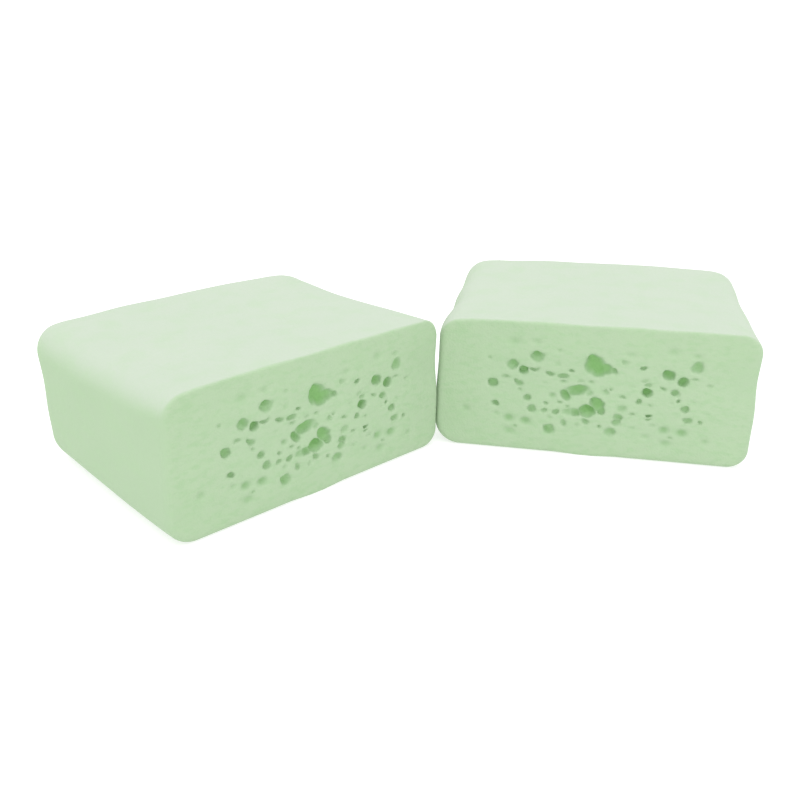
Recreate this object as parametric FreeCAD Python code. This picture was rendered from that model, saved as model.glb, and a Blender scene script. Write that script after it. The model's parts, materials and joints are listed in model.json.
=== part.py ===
import FreeCAD, Part
import os

from FreeCAD import Vector

# Two equal loose bricks of green foam, millimetres.
# Frame: origin at the middle of the left brick's base, X along its cut face,
# the cut face towards -Y, Z up.

# One brick
LENGTH = 110.0            # along the cut face
DEPTH = 88.5              # from the cut face to the back
HEIGHT = 50.0             # at the front and back edges of the top
TOP_SAG = 2.3             # the top's middle lies this much lower, so the top is a shallow trough
BACK_CORNER_RADIUS = 10.0     # upright corners at the back, seen from above
TOP_EDGE_RADIUS = 9.0         # soft edge round the top's ends and back
BOTTOM_EDGE_RADIUS = 8.5      # the same round the base
FRONT_RIM_RADIUS = 2.5        # edge of the cut face

# Place of the second brick
RIGHT_CENTRE = Vector(122.2, -61.8, 0.0)
RIGHT_TURN = -54.5            # degrees about Z

# Open bubbles in the cut face: x from the middle, height above the base, mouth diameter
BUBBLES = [
    (0.5, 35.5, 8.0),
    (5.0, 34.5, 3.0),
    (-19.0, 37.0, 4.5),
    (-27.5, 33.5, 4.0),
    (-23.5, 31.5, 3.5),
    (-25.0, 27.0, 3.0),
    (-34.0, 26.5, 4.0),
    (-22.0, 21.5, 3.0),
    (-33.0, 18.0, 2.5),
    (-13.5, 10.0, 4.0),
    (-8.0, 22.5, 3.0),
    (-6.0, 24.5, 4.5),
    (-2.5, 25.5, 4.0),
    (-6.5, 17.0, 3.0),
    (0.0, 18.0, 5.0),
    (3.0, 21.0, 4.5),
    (25.5, 33.0, 4.5),
    (30.0, 31.0, 3.5),
    (34.0, 37.0, 4.0),
    (19.0, 26.0, 3.5),
    (28.5, 26.5, 3.0),
    (31.0, 21.0, 3.0),
    (33.0, 17.5, 2.5),
    (20.0, 17.5, 2.0),
    (8.0, 10.5, 3.5),
    (11.5, 20.0, 2.5),
    (9.5, 16.0, 3.0),
]
BUBBLE_SINK = 0.12            # centre's depth behind the face, as a share of the mouth diameter

SPARE = 1.0                   # extra height that the trough cut removes
NEAR = 0.01                   # two coordinates closer than this are the same


def trough_radius():
    """Radius of the arc that drops by TOP_SAG over the brick's depth."""
    half = DEPTH / 2
    return (half * half + TOP_SAG * TOP_SAG) / (2 * TOP_SAG)


def sharp_box():
    """The brick's plan and height with sharp edges, a little too tall."""
    return Part.makeBox(LENGTH, DEPTH, HEIGHT + SPARE, Vector(-LENGTH / 2, -DEPTH / 2, 0))


def trough():
    """Long cylinder across the brick whose underside is the top surface."""
    radius = trough_radius()
    start = Vector(-LENGTH, 0, HEIGHT - TOP_SAG + radius)
    return Part.makeCylinder(radius, 2 * LENGTH, start, Vector(1, 0, 0))


def on_front(edge):
    return abs(edge.BoundBox.YMax + DEPTH / 2) < NEAR


def is_back_corner(edge):
    box = edge.BoundBox
    return box.XLength < NEAR and box.YLength < NEAR and box.YMin > 0


def on_top(edge):
    return edge.BoundBox.ZMin > HEIGHT - TOP_SAG - NEAR and not on_front(edge)


def on_base(edge):
    return edge.BoundBox.ZMax < NEAR and not on_front(edge)


def rounded(shape, radius, wanted):
    """The shape with every edge that wanted() picks rounded to one radius."""
    return shape.makeFillet(radius, [edge for edge in shape.Edges if wanted(edge)])


def block():
    """The brick without its bubbles: large radii first, the cut face's rim last."""
    shape = sharp_box().cut(trough())
    shape = rounded(shape, BACK_CORNER_RADIUS, is_back_corner)
    shape = rounded(shape, TOP_EDGE_RADIUS, on_top)
    shape = rounded(shape, BOTTOM_EDGE_RADIUS, on_base)
    return rounded(shape, FRONT_RIM_RADIUS, on_front)


def bubble(x, z, mouth):
    """Ball that opens on the cut face with a mouth of the given diameter, one pole at its floor."""
    sink = BUBBLE_SINK * mouth
    radius = (sink * sink + mouth * mouth / 4) ** 0.5
    return Part.makeSphere(radius, Vector(x, sink - DEPTH / 2, z), Vector(0, 1, 0))


def brick():
    """One brick. The bubbles are cut one by one, because many of them overlap."""
    shape = block()
    for x, z, mouth in BUBBLES:
        shape = shape.cut(bubble(x, z, mouth))
    return shape.Solids[0]


def save(shape, node):
    shape.exportStep(os.path.join("parts", node + ".step"))
    print(node, "valid", shape.isValid(), "volume cm3", round(shape.Volume / 1000, 1))


def main():
    os.makedirs("parts", exist_ok=True)
    left = brick()
    right = left.copy()
    right.rotate(Vector(0, 0, 0), Vector(0, 0, 1), RIGHT_TURN)
    right.translate(RIGHT_CENTRE)
    save(left, "left_brick")
    save(right, "right_brick")
    print("gap between the bricks, mm", round(left.distToShape(right)[0], 2))


main()
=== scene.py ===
import json
import math

import bpy
import numpy as np
from mathutils import Matrix, Vector


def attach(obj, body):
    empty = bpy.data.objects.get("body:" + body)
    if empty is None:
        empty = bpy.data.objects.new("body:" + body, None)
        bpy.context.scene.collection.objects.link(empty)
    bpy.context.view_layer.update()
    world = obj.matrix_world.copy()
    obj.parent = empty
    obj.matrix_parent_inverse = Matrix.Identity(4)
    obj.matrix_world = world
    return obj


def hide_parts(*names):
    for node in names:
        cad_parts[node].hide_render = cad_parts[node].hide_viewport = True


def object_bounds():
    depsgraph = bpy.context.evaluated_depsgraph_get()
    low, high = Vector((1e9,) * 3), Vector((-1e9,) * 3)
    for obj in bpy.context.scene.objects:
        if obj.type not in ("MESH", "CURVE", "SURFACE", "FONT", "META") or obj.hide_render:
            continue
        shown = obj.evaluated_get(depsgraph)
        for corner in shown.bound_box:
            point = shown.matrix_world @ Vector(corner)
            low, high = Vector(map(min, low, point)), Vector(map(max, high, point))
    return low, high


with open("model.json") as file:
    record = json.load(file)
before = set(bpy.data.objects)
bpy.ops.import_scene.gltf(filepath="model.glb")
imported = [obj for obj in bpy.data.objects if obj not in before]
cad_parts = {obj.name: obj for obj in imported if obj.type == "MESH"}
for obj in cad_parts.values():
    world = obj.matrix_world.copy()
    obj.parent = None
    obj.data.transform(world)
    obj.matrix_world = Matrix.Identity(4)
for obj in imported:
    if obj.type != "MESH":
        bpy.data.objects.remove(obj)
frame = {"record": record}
cad_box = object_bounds()

# Two loose bricks of green flower foam. Each is one closed mesh of an implicit shape.
# Shapes are worked out in millimetres in a brick's own frame: origin at the middle of its base,
# X along the cut face, the cut face towards -Y, Z up. They are scaled to metres at the end.
# Distances to a shape are negative inside it.
MM = 0.001

# One brick before rounding, as in the CAD design
LENGTH = 110.0
DEPTH = 88.5
HEIGHT = 50.0
TOP_SAG = 2.3                 # the top's middle lies this much lower
RIGHT_TURN = -54.5            # degrees that the right brick is turned about Z

# Edge radii: the soft block is rounder along its left end than its right end
BACK_CORNER_RADIUS = 9.5      # upright corners at the back
TOP_LEFT_RADIUS = 9.5
TOP_LEFT_FRONT_RADIUS = 6.0   # the same edge beside the cut face
LEFT_FRONT_REACH = 20.0       # how far back that tighter radius fades
TOP_RIGHT_RADIUS = 7.5
BOTTOM_LEFT_RADIUS = 10.0
BOTTOM_RIGHT_RADIUS = 7.0
BACK_TOP_RADIUS = 5.0
TOP_BLEND = 8.0               # over this distance the rim changes from upright to top
UPRIGHT_RIM_RADIUS = 2.2      # upright edges of the cut face
TOP_RIM_RADIUS = 1.0          # the cut face's crisp top edge

# How a soft block strays from a box. A reach is the distance over which an effect fades.
CORNER_DROP = 1.3             # the top falls away by this much at the back corners
FRONT_DROP = 0.9              # the top falls away by this much beside the cut face
FRONT_REACH = 8.0
SHOULDER_DROP = 1.6           # and by this much more towards its left end
SHOULDER_START = -30.0        # x where it begins
SHOULDER_LENGTH = 22.0        # along X to its full depth
SHOULDER_REACH = 25.0
LEFT_DRAW_IN = 0.8            # the left end pulls in by this much beside the cut face
DRAW_IN_REACH = 6.0
LEFT_FRONT_LEAN = 2.5         # an end's top lies this much further in than its foot
LEFT_BACK_LEAN = -1.0
RIGHT_LEAN = 0.3
WAVE_HEIGHT = 0.22            # slow unevenness of all faces but the base
WAVE_LENGTH = 26.0
WAVE_RISE = 6.0               # height over which it sets in above the base

# Bubbles
WARP = 0.24                   # strength and wavelength of the bubbles' uneven outline
WARP_LENGTH = 4.0
FINE_WARP = 0.07
FINE_WARP_LENGTH = 1.7
BUBBLE_BLEND = 0.35           # softness of the ridge between two bubbles
RIM_BLEND = 0.6               # softness of a bubble's rim
BUBBLE_ZONE = 8.0             # bubbles lie within this distance of the cut face

# Mesh
FINE_CELL = 0.42              # grid cell where the bubbles are
THIN = 0.02                   # grid points closed up get this depth inside the foam

# Open bubbles in the cut face: x, z of the middle, width, height, depth, tilt in degrees.
# The tilt turns the width from X towards Z.
BUBBLES = [
    # the large bubble, its narrowing right part, and the slot that runs out of it
    (0.5, 35.0, 7.6, 7.8, 2.7, 0),
    (2.0, 33.0, 6.4, 5.6, 2.7, -10),
    (4.5, 33.5, 5.4, 4.4, 2.0, -25),
    (7.5, 33.0, 3.6, 2.2, 1.2, -25),
    # upper left group
    (-19.0, 36.5, 4.8, 4.4, 1.4, 20),
    (-27.5, 33.0, 4.6, 4.0, 1.9, -10),
    (-23.5, 31.0, 4.1, 3.4, 2.0, 25),
    (-19.5, 32.0, 4.6, 1.4, 0.9, 0),
    (-25.0, 26.5, 4.2, 2.4, 1.4, -30),
    (-34.0, 25.5, 4.0, 4.0, 1.9, 0),
    (-22.0, 21.0, 3.1, 2.6, 1.6, 0),
    (-33.0, 17.5, 2.8, 2.1, 1.4, -30),
    (-13.5, 9.5, 4.4, 4.2, 1.3, 0),
    # the arch: a wide bowl, its foot at the left, a small lobe at its right end
    (-4.5, 25.0, 9.4, 4.4, 2.1, 10),
    (-8.5, 23.0, 5.2, 3.0, 2.2, -55),
    (-0.5, 24.5, 3.6, 2.2, 1.1, -35),
    # the pair right of the middle, with a ridge between them
    (-0.5, 17.5, 6.6, 4.8, 2.8, -15),
    (2.5, 20.5, 5.4, 5.2, 2.3, -35),
    (4.0, 18.0, 2.8, 3.6, 1.6, 0),
    # two shallow ones to their left
    (-7.5, 16.5, 3.4, 2.8, 1.0, 0),
    (-5.0, 16.5, 4.2, 3.2, 1.2, 0),
    # right group
    (25.5, 33.0, 4.9, 4.0, 2.0, -10),
    (30.5, 31.0, 4.2, 3.4, 2.0, 25),
    (33.5, 32.0, 3.8, 1.2, 0.7, 10),
    (34.5, 36.5, 4.4, 4.3, 1.3, 30),
    (19.0, 26.0, 3.8, 3.6, 2.2, 0),
    (28.5, 26.5, 4.0, 2.5, 1.3, -30),
    (29.5, 24.0, 1.3, 1.3, 1.0, 0),
    (32.0, 21.0, 3.2, 2.6, 1.3, 0),
    (33.5, 17.0, 3.4, 2.7, 1.0, 10),
    (20.5, 17.5, 2.3, 1.2, 1.4, 0),
    (20.5, 16.0, 2.1, 1.1, 1.0, 0),
    (8.0, 10.0, 4.2, 4.0, 1.1, 0),
    (11.0, 19.5, 3.2, 2.6, 1.0, 0),
    (10.0, 16.0, 3.4, 2.6, 1.1, -20),
    (10.0, 14.0, 3.2, 2.4, 1.1, 0),
    # small ones
    (17.5, 35.0, 2.4, 1.5, 1.2, 10),
    (-14.5, 30.5, 4.0, 2.0, 1.3, -10),
    (-9.5, 30.0, 4.3, 1.9, 1.1, 0),
    (-7.0, 32.0, 2.1, 1.3, 1.0, -10),
    (-3.5, 28.5, 2.2, 1.2, 0.8, 0),
    (-20.0, 17.0, 3.4, 2.9, 1.2, 0),
    (-15.0, 19.5, 1.8, 1.5, 0.9, 0),
    (-15.5, 16.5, 1.9, 1.4, 1.1, 0),
    (-10.0, 20.0, 1.9, 1.3, 0.7, -10),
    (-7.5, 18.5, 1.6, 1.3, 0.8, 0),
    (-11.5, 16.5, 2.8, 2.2, 1.0, 15),
    (-8.5, 12.5, 2.5, 2.5, 1.0, 30),
    (-1.0, 13.5, 3.0, 2.5, 1.0, -10),
    (-3.5, 12.0, 1.8, 1.2, 0.7, 0),
    (4.0, 12.0, 1.6, 1.1, 0.9, -20),
    (5.0, 25.0, 2.7, 2.5, 0.9, 0),
    (7.0, 26.5, 1.2, 1.0, 0.4, 0),
    (11.0, 24.0, 2.3, 1.4, 0.6, 0),
    (14.5, 18.0, 1.8, 1.0, 0.5, -10),
    (16.5, 22.5, 1.8, 1.9, 0.7, -30),
    (20.5, 21.5, 1.8, 1.0, 0.6, 0),
    (-24.0, 24.0, 2.0, 1.5, 0.9, 0),
    (-29.5, 28.0, 2.8, 1.4, 0.8, -5),
    (24.5, 28.0, 3.4, 1.3, 0.9, -10),
    (18.0, 30.5, 2.4, 1.5, 0.9, 20),
    (19.0, 29.0, 2.1, 1.3, 0.8, 0),
    (22.5, 32.5, 1.1, 1.0, 0.6, 0),
    (28.5, 10.0, 2.0, 1.2, 0.8, -25),
    (37.5, 16.5, 1.7, 1.7, 0.7, 0),
    (39.0, 30.5, 1.8, 1.2, 0.4, 0),
    (11.0, 36.5, 2.3, 1.3, 0.4, 0),
]
# Faint shallow hollows in the cut face: x, z, width, height, depth
HOLLOWS = [
    (26.0, 12.5, 4.4, 3.6, 1.2),
    (32.0, 12.0, 4.8, 3.6, 1.3),
    (-22.0, 12.0, 4.8, 3.4, 1.3),
    (-28.0, 12.5, 4.6, 3.6, 1.2),
    (-43.5, 15.0, 3.8, 3.6, 0.7),
    (-27.5, 7.5, 6.0, 4.0, 0.8),
    (-25.5, 9.5, 1.8, 1.6, 0.7),
    (-32.5, 14.0, 3.0, 2.2, 0.5),
    (-13.5, 14.0, 2.8, 2.2, 0.6),
    (-13.0, 22.5, 3.0, 2.6, 0.9),
    (-35.5, 35.0, 1.9, 1.7, 0.7),
    (-9.5, 28.0, 3.4, 1.5, 0.8),
    (0.0, 28.5, 3.0, 1.5, 0.7),
    (-12.0, 34.5, 3.0, 3.0, 0.45),
    (-11.5, 39.5, 2.6, 1.6, 0.5),
    (-27.0, 41.5, 6.0, 3.6, 0.6),
    (-19.5, 42.0, 5.0, 2.4, 0.5),
    (-16.0, 27.0, 3.6, 1.4, 0.3),
    (34.0, 40.5, 4.4, 2.6, 0.6),
    (26.0, 41.5, 5.0, 4.0, 0.6),
    (12.5, 39.5, 5.0, 2.8, 0.5),
    (27.0, 7.5, 5.4, 3.4, 0.8),
    (40.0, 9.5, 3.8, 3.2, 0.65),
    (20.0, 9.5, 4.0, 2.6, 0.55),
    (22.0, 14.0, 3.4, 1.6, 0.5),
    (15.0, 12.5, 3.4, 1.4, 0.45),
    (39.5, 20.0, 2.8, 1.6, 0.3),
    (27.5, 23.0, 2.4, 1.4, 0.35),
    (34.5, 24.0, 2.8, 1.4, 0.3),
    (14.0, 28.0, 3.6, 1.4, 0.3),
]


def plane_waves(points, wavelength, seed, count=12):
    """Smooth seeded noise of about -1 to 1: a sum of sine waves in chance directions."""
    rng = np.random.default_rng(seed)
    total = np.zeros(len(points))
    for _ in range(count):
        direction = rng.normal(size=3)
        direction *= 2 * math.pi / (wavelength * rng.uniform(0.7, 1.6) * np.linalg.norm(direction))
        total += np.sin(points @ direction + rng.uniform(0, 2 * math.pi))
    return total / math.sqrt(count)


def between(a, b, share):
    """a where share is 0, b where it is 1."""
    return a + (b - a) * share


def rounded_corner(a, b, radius):
    """Distance to where two half spaces meet, with a round edge."""
    outer = np.hypot(np.maximum(a + radius, 0), np.maximum(b + radius, 0))
    return np.minimum(np.maximum(a, b), -radius) + outer


def soft_max(a, b, width):
    """The larger of two distances, blended where they differ by less than width."""
    near = np.maximum(width - np.abs(a - b), 0)
    return np.maximum(a, b) + near * near / (4 * width)


def block(points):
    """Distance to the brick without its bubbles."""
    x, y, z = points.T
    middle = 1 - (2 * y / DEPTH) ** 2
    rightness = np.clip(0.5 + x / LENGTH, 0, 1)
    backness = np.clip(2 * y / DEPTH, 0, 1)
    behind = np.maximum(y + DEPTH / 2, 0)
    left_lean = between(LEFT_FRONT_LEAN, LEFT_BACK_LEAN, y / DEPTH + 0.5)
    lean = (z / HEIGHT - 0.5) * np.where(x < 0, left_lean, RIGHT_LEAN)
    draw_in = np.where(x < 0, LEFT_DRAW_IN, 0) * np.exp(-behind / DRAW_IN_REACH)
    side = np.abs(x) + lean + draw_in - LENGTH / 2
    shoulder = np.clip((SHOULDER_START - x) / SHOULDER_LENGTH, 0, 1)
    drop = FRONT_DROP * np.exp(-behind / FRONT_REACH)
    drop += SHOULDER_DROP * shoulder ** 2 * np.exp(-behind / SHOULDER_REACH)
    drop += CORNER_DROP * (2 * backness * x / LENGTH) ** 2
    top = z - HEIGHT + TOP_SAG * middle + drop
    back = y - DEPTH / 2
    by_back = np.clip(0.5 + (back - side) / (2 * BACK_CORNER_RADIUS), 0, 1)
    tight = np.exp(-behind / LEFT_FRONT_REACH)
    top_radius = between(TOP_LEFT_RADIUS, TOP_LEFT_FRONT_RADIUS, tight)
    top_radius = between(top_radius, TOP_RIGHT_RADIUS, rightness)
    top_radius = between(top_radius, BACK_TOP_RADIUS, by_back)
    bottom_radius = between(BOTTOM_LEFT_RADIUS, BOTTOM_RIGHT_RADIUS, rightness)
    by_top = np.clip(0.5 + (top - side) / TOP_BLEND, 0, 1)
    rim_radius = between(UPRIGHT_RIM_RADIUS, TOP_RIM_RADIUS, by_top)
    shape = rounded_corner(side, back, BACK_CORNER_RADIUS)
    shape = rounded_corner(shape, top, top_radius)
    shape = rounded_corner(shape, -z, bottom_radius)
    return rounded_corner(shape, -y - DEPTH / 2, rim_radius)


def cup(x, z, behind, width, height, depth):
    """Rough distance to a cup with the given mouth and depth. x, z start at its middle."""
    out = np.hypot(x * 2 / width, z * 2 / height)
    steepness = 3 * depth * 2 / math.sqrt(width * height) * np.minimum(out, 1.3) ** 2
    return (behind - depth * (1 - out ** 3)) / np.sqrt(1 + steepness ** 2)


def bubbles(points):
    """Distance to the nearest bubble."""
    warp = np.stack([plane_waves(points, WARP_LENGTH, seed) for seed in (11, 12, 13)], axis=1)
    fine_warp = np.stack([plane_waves(points, FINE_WARP_LENGTH, seed) for seed in (21, 22, 23)],
                         axis=1)
    x, y, z = (points + WARP * warp + FINE_WARP * fine_warp).T
    nearest = np.full(len(points), 1e3)
    for px, pz, width, height, depth, tilt in BUBBLES:
        c, s = math.cos(math.radians(tilt)), math.sin(math.radians(tilt))
        u = c * (x - px) + s * (z - pz)
        v = c * (z - pz) - s * (x - px)
        away = cup(u, v, y + DEPTH / 2, width, height, depth)
        nearest = -soft_max(-nearest, -away, BUBBLE_BLEND)
    return nearest


def hollows(points):
    """How far the faint hollows push the cut face in."""
    x, y, z = points.T
    total = np.zeros(len(points))
    for px, pz, width, height, depth in HOLLOWS:
        out = np.hypot((x - px) * 2 / width, (z - pz) * 2 / height)
        total += depth * np.exp(-1.8 * out ** 2)
    return total * (y < 0)


def wavy_block(points):
    """The block with slightly uneven faces. Its base stays flat."""
    rise = np.clip(points[:, 2] / WAVE_RISE, 0, 1)
    return block(points) + WAVE_HEIGHT * rise * plane_waves(points, WAVE_LENGTH, 5)


def foam(points):
    """Distance to the finished brick: the block, less its bubbles and hollows."""
    shape = wavy_block(points)
    front = points[:, 1] < BUBBLE_ZONE - DEPTH / 2
    near = points[front]
    shape[front] = soft_max(shape[front] + hollows(near), -bubbles(near), RIM_BLEND)
    return shape


def graded(*stretches):
    """Grid positions from (start, step) pairs; the last pair gives only the end."""
    parts = []
    for (start, step), (end, _) in zip(stretches, stretches[1:]):
        parts.append(np.linspace(start, end, math.ceil((end - start) / step), endpoint=False))
    return np.concatenate(parts + [[stretches[-1][0]]])


def grid_axes():
    """Fine cells where the bubbles are, coarse ones elsewhere."""
    half = LENGTH / 2
    front = -DEPTH / 2
    along = graded((-half - 1.5, 0.85), (-41, FINE_CELL), (43, 0.85), (half + 1.5, None))
    deep = graded((front - 1.2, FINE_CELL), (front + 6.4, 0.9), (front + 11, 1.7),
                  (front + 20, 2.8), (-front - 15, 1.3), (-front + 1.5, None))
    up = graded((-1.2, 0.8), (6.5, FINE_CELL), (44, 0.8), (HEIGHT + 1.5, None))
    return along, deep, up


def closed_up(values):
    """Foam values with thin gaps filled, where four faces of the net would share one edge."""
    values = values.copy()
    for _ in range(4):
        for turned in (values, values.transpose(1, 2, 0), values.transpose(2, 0, 1)):
            corners = [turned[:-1, :-1], turned[1:, :-1], turned[1:, 1:], turned[:-1, 1:]]
            a, b, c, d = [corner < 0 for corner in corners]
            mixed = (a == c) & (b == d) & (a != b)
            for corner in corners:
                corner[mixed] = np.minimum(corner[mixed], -THIN)
    return values


def surface_net(axes):
    """Closed quad mesh of the foam's surface: one vertex in every grid cell that it crosses."""
    shape = tuple(len(a) for a in axes)
    grid = np.stack(np.meshgrid(*axes, indexing="ij"), axis=-1).reshape(-1, 3)
    values = closed_up(foam(grid).reshape(shape))
    inside = values < 0
    cells = tuple(n - 1 for n in shape)
    sums = np.zeros(cells + (3,))
    counts = np.zeros(cells)
    crossings = []
    for axis in range(3):
        low = tuple(slice(0, -1) if a == axis else slice(None) for a in range(3))
        high = tuple(slice(1, None) if a == axis else slice(None) for a in range(3))
        at = np.argwhere(inside[low] != inside[high])
        first = values[low][tuple(at.T)]
        second = values[high][tuple(at.T)]
        points = np.stack([axes[a][at[:, a]] for a in range(3)], axis=1)
        step = axes[axis][at[:, axis] + 1] - axes[axis][at[:, axis]]
        points[:, axis] += step * first / (first - second)
        crossings.append((at, first < 0))
        b, c = [a for a in range(3) if a != axis]
        for shift_b in (0, 1):
            for shift_c in (0, 1):
                cell = at.copy()
                cell[:, b] -= shift_b
                cell[:, c] -= shift_c
                np.add.at(sums, tuple(cell.T), points)
                np.add.at(counts, tuple(cell.T), 1)
    used = counts > 0
    index = np.full(cells, -1)
    index[used] = np.arange(used.sum())
    vertices = sums[used] / counts[used][:, None]
    quads = []
    for axis, (at, starts_inside) in enumerate(crossings):
        b, c = (axis + 1) % 3, (axis + 2) % 3
        ring = []
        for shift_b, shift_c in ((0, 0), (1, 0), (1, 1), (0, 1)):
            cell = at.copy()
            cell[:, b] -= shift_b
            cell[:, c] -= shift_c
            ring.append(index[tuple(cell.T)])
        ring = np.stack(ring, axis=1)
        ring[~starts_inside] = ring[~starts_inside][:, ::-1]
        quads.append(ring)
    return vertices, np.concatenate(quads)


def pulled_to_surface(vertices, rounds=3):
    """Newton steps that put every vertex on the surface."""
    reach = 0.02              # step for measuring the slope
    longest = 0.3             # no vertex moves further than this in one round
    for _ in range(rounds):
        value = foam(vertices)
        slope = np.zeros_like(vertices)
        for axis in range(3):
            ahead = vertices.copy()
            ahead[:, axis] += reach
            slope[:, axis] = (foam(ahead) - value) / reach
        steepness = np.maximum((slope ** 2).sum(axis=1), 0.2)
        move = -(value / steepness)[:, None] * slope
        length = np.linalg.norm(move, axis=1)
        vertices = vertices + move * np.minimum(1, longest / np.maximum(length, 1e-9))[:, None]
    return vertices


def evened(vertices, quads, share=0.5):
    """Each vertex moved part of the way to the mean of its neighbours."""
    total = np.zeros_like(vertices)
    count = np.zeros(len(vertices))
    for k in range(4):
        here, there = quads[:, k], quads[:, (k + 1) % 4]
        np.add.at(total, here, vertices[there])
        np.add.at(count, here, 1)
        np.add.at(total, there, vertices[here])
        np.add.at(count, there, 1)
    return vertices + share * (total / count[:, None] - vertices)


def brick_mesh():
    """One brick's vertices and quads, with evenly spread vertices on the exact surface."""
    vertices, quads = surface_net(grid_axes())
    vertices = pulled_to_surface(vertices)
    for _ in range(2):
        vertices = pulled_to_surface(evened(vertices, quads), rounds=1)
    return pulled_to_surface(vertices), quads


def linear(red, green, blue):
    """Linear colour of an 8-bit sRGB one."""
    out = []
    for level in (red, green, blue):
        share = level / 255
        out.append(share / 12.92 if share <= 0.04045 else ((share + 0.055) / 1.055) ** 2.4)
    return (*out, 1.0)


class Nodes:
    """Short way to add and join shader nodes."""

    def __init__(self, name):
        self.material = bpy.data.materials.new(name)
        self.material.use_nodes = True
        self.tree = self.material.node_tree
        self.shader = self.tree.nodes["Principled BSDF"]

    def add(self, kind, inputs=(), **settings):
        node = self.tree.nodes.new(kind)
        for key, value in settings.items():
            setattr(node, key, value)
        for key, value in dict(inputs).items():
            if isinstance(value, bpy.types.NodeSocket):
                self.tree.links.new(value, node.inputs[key])
            else:
                node.inputs[key].default_value = value
        return node

    def math(self, operation, first, second):
        return self.add("ShaderNodeMath", {0: first, 1: second}, operation=operation).outputs[0]

    def mix(self, share, first, second):
        """Blend of two colours."""
        node = self.add("ShaderNodeMix", data_type="RGBA", blend_type="MIX")
        for key, value in ((0, share), (6, first), (7, second)):
            if isinstance(value, bpy.types.NodeSocket):
                self.tree.links.new(value, node.inputs[key])
            else:
                node.inputs[key].default_value = value
        return node.outputs[2]

    def noise(self, where, scale, detail=3.0, rough=0.5):
        inputs = {"Vector": where, "Scale": scale, "Detail": detail, "Roughness": rough}
        return self.add("ShaderNodeTexNoise", inputs).outputs[0]

    def ranged(self, value, low, high, to_low=0.0, to_high=1.0, smooth=True):
        """The value's place between low and high, as a number from to_low to to_high."""
        inputs = {0: value, 1: low, 2: high, 3: to_low, 4: to_high}
        kind = "SMOOTHSTEP" if smooth else "LINEAR"
        return self.add("ShaderNodeMapRange", inputs, interpolation_type=kind).outputs[0]

    def link(self, socket, name):
        """Join a socket to the shader's input of that name."""
        self.tree.links.new(socket, self.shader.inputs[name])


def foam_material():
    """Cut foam on the front, a thin closed skin elsewhere, with painted shade of darker green
    inside the bubbles.

    It reads four things from the mesh: place in the brick (m), sunk (mm below the smooth face),
    cut (1 on the cut face, 0 on the skin) and the top-light share (1 where the skin faces up,
    where the top is painted paler as if lit from above).
    """
    n = Nodes("foam")
    where = n.add("ShaderNodeAttribute", attribute_name="place").outputs["Vector"]
    sunk = n.add("ShaderNodeAttribute", attribute_name="sunk").outputs["Fac"]
    cut = n.add("ShaderNodeAttribute", attribute_name="cut").outputs["Fac"]
    painted_top_light = n.add("ShaderNodeAttribute", attribute_name="painted_top_light").outputs["Fac"]

    # Noise scales are per metre: 28 gives features of about 36 mm, 1100 of about 1 mm
    flatter = {"Vector": where, "Scale": (1.0, 1.0, 2.2)}
    stretched = n.add("ShaderNodeMapping", flatter).outputs[0]
    cloud = n.noise(where, 28.0, 2.0, 0.5)
    blotch = n.noise(stretched, 95.0, 3.0, 0.55)
    mottle = n.noise(stretched, 330.0, 3.0, 0.55)
    speck = n.noise(where, 1100.0, 2.0, 0.6)

    skin = n.mix(cloud, linear(163, 186, 154), linear(166, 188, 157))
    # Painted top light: where the skin faces up it is coloured paler and greyer, in place of light
    # from above
    top = n.mix(cloud, linear(179, 191, 175), linear(182, 193, 177))
    core = n.mix(cloud, linear(165, 188, 155), linear(169, 190, 159))
    base = n.mix(n.ranged(painted_top_light, 0.1, 0.98), skin, top)
    base = n.mix(cut, base, core)
    base = n.mix(n.ranged(blotch, 0.40, 0.75, 0.0, 0.22), base, linear(160, 192, 148))
    on_cut = n.math("MULTIPLY", cut, n.ranged(mottle, 0.42, 0.72, 0.0, 0.50))
    base = n.mix(on_cut, base, linear(152, 184, 142))
    base = n.mix(n.ranged(speck, 0.3, 0.75, 0.0, 0.10), base, linear(162, 194, 150))
    # Painted shade in the recesses: greener and darker with depth, first in the hollows and then
    # in the bubbles
    base = n.mix(n.ranged(sunk, 0.0, 1.1, 0.0, 0.75), base, linear(143, 178, 132))
    base = n.mix(n.ranged(sunk, 0.7, 2.6, 0.0, 0.75), base, linear(125, 176, 103))
    n.link(base, "Base Color")

    # Cells of about 0.7 mm, weaker on the closed skin, over a coarser unevenness
    cells = n.add("ShaderNodeTexVoronoi", {"Vector": where, "Scale": 1500.0},
                  feature="SMOOTH_F1").outputs["Distance"]
    fine = n.math("MULTIPLY", cells, n.ranged(cut, 0.0, 1.0, 0.35, 1.0))
    coarse = n.noise(where, 330.0, 3.0, 0.5)
    height = n.math("ADD", fine, n.math("MULTIPLY", coarse, 1.4))
    bump = n.add("ShaderNodeBump", {"Height": height, "Strength": 0.55, "Distance": 0.00016})
    n.link(bump.outputs[0], "Normal")

    n.link(n.ranged(speck, 0.2, 0.8, 0.78, 0.95, smooth=False), "Roughness")
    n.shader.inputs["Specular IOR Level"].default_value = 0.15
    n.shader.inputs["Sheen Weight"].default_value = 0.1
    n.shader.inputs["Sheen Roughness"].default_value = 0.4
    return n.material


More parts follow.
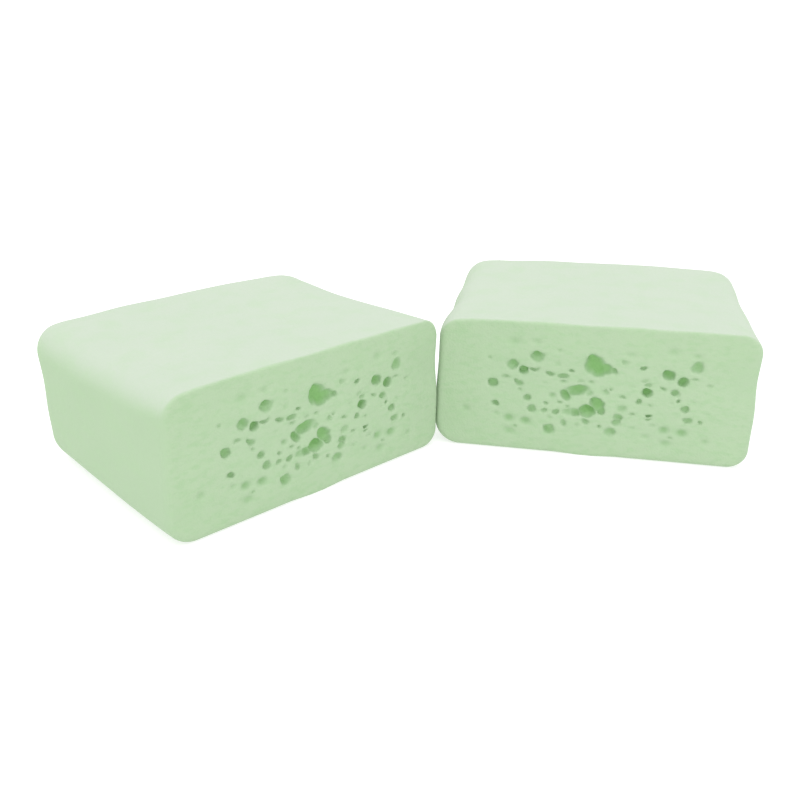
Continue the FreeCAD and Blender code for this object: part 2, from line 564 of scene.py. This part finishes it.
def brick_piece(name, shape, place, material):
    """The foam mesh as an object, standing where its CAD body stands."""
    nudge = 0.1
    bubble_floor = 1.0        # from this depth on the foam counts as cut
    vertices, quads = shape
    mesh = bpy.data.meshes.new(name)
    at = np.c_[vertices * MM, np.ones(len(vertices))] @ np.array(place).T
    mesh.from_pydata(at[:, :3].tolist(), [], quads.tolist())
    mesh.polygons.foreach_set("use_smooth", np.ones(len(quads), bool))
    # Depth below the smooth face; the material paints shade into the hollows and bubbles from it
    sunk = np.maximum(-wavy_block(vertices), 0)
    on_face = np.clip(1 - (vertices[:, 1] + DEPTH / 2) / TOP_RIM_RADIUS, 0, 1)
    cut = np.maximum(on_face, sunk > bubble_floor)
    # How much the surface faces up; the material paints the skin paler there, as painted light
    # from above
    painted_top_light = (block(vertices + (0, 0, nudge)) - block(vertices)) / nudge
    in_metres = (vertices * MM).astype(np.float32)
    mesh.attributes.new("place", "FLOAT_VECTOR", "POINT").data.foreach_set(
        "vector", in_metres.ravel())
    for key, values in (("sunk", sunk), ("cut", cut), ("painted_top_light", painted_top_light)):
        attribute = mesh.attributes.new(key, "FLOAT", "POINT")
        attribute.data.foreach_set("value", values.astype(np.float32))
    mesh.materials.append(material)
    mesh.update()
    piece = bpy.data.objects.new(name, mesh)
    bpy.context.scene.collection.objects.link(piece)
    return piece


def add_bricks(record):
    """Both bricks, each on its own base mount and riding on its own body."""
    material = foam_material()
    shape = brick_mesh()
    mounts = {m["name"]: Vector(m["pos_m"]) for m in record["mounts"]}
    turns = {"left_brick": 0.0, "right_brick": math.radians(RIGHT_TURN)}
    for node, turn in turns.items():
        place = Matrix.Translation(mounts[node + "_base"]) @ Matrix.Rotation(turn, 4, "Z")
        piece = brick_piece(node + "_foam", shape, place, material)
        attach(piece, node)
        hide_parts(node)


def add_floor(middle):
    """Plain pale floor, slightly luminous so that it stays white beside the bricks."""
    n = Nodes("floor")
    tone = n.noise(n.add("ShaderNodeNewGeometry").outputs["Position"], 6.0, 2.0)
    n.link(n.mix(tone, (0.49, 0.49, 0.49, 1), (0.51, 0.51, 0.51, 1)), "Base Color")
    n.shader.inputs["Roughness"].default_value = 0.9
    n.shader.inputs["Specular IOR Level"].default_value = 0.1
    n.shader.inputs["Emission Color"].default_value = (1, 1, 1, 1)
    n.shader.inputs["Emission Strength"].default_value = 0.62
    half = 6.0                # metres
    mesh = bpy.data.meshes.new("floor")
    corners = [(middle.x + a * half, middle.y + b * half, 0.0)
               for a, b in ((-1, -1), (1, -1), (1, 1), (-1, 1))]
    mesh.from_pydata(corners, [], [(0, 1, 2, 3)])
    mesh.materials.append(n.material)
    floor = bpy.data.objects.new("floor", mesh)
    bpy.context.scene.collection.objects.link(floor)


def add_sun(azimuth, elevation, spread, strength):
    """Soft light from far away. Azimuth 0 stands towards -Y, 90 towards +X."""
    a, e = math.radians(azimuth), math.radians(elevation)
    away = Vector((math.sin(a) * math.cos(e), -math.cos(a) * math.cos(e), math.sin(e)))
    data = bpy.data.lights.new("soft_sun", "SUN")
    data.energy = strength
    data.angle = math.radians(spread)
    light = bpy.data.objects.new("soft_sun", data)
    light.rotation_euler = away.to_track_quat("Z", "Y").to_euler()
    bpy.context.scene.collection.objects.link(light)


def add_lights():
    """White surroundings, a broad light from above and a faint one from the front left."""
    add_sun(azimuth=-45, elevation=80, spread=50, strength=1.0)
    add_sun(azimuth=-45, elevation=8, spread=60, strength=0.2)
    world = bpy.data.worlds.new("studio")
    world.use_nodes = True
    world.node_tree.nodes["Background"].inputs[0].default_value = (1, 1, 1, 1)
    world.node_tree.nodes["Background"].inputs[1].default_value = 1.17
    bpy.context.scene.world = world


def add_camera(middle):
    """Slightly above the bricks, looking between them."""
    azimuth, elevation = math.radians(-42.6), math.radians(23.0)
    distance = 0.3687
    aim = Vector((middle.x + 0.0067, middle.y + 0.0388, 0.0))
    back = Vector((math.sin(azimuth) * math.cos(elevation),
                   -math.cos(azimuth) * math.cos(elevation), math.sin(elevation)))
    data = bpy.data.cameras.new("camera")
    data.lens = 40.3
    data.sensor_width = 36.0
    camera = bpy.data.objects.new("camera", data)
    camera.location = aim + back * distance
    camera.rotation_euler = (-back).to_track_quat("-Z", "Y").to_euler()
    bpy.context.scene.collection.objects.link(camera)
    bpy.context.scene.camera = camera


middle_of_box = (cad_box[0] + cad_box[1]) / 2

add_bricks(frame["record"])
add_floor(middle_of_box)
add_lights()
add_camera(middle_of_box)
bpy.context.scene.view_settings.view_transform = "Standard"
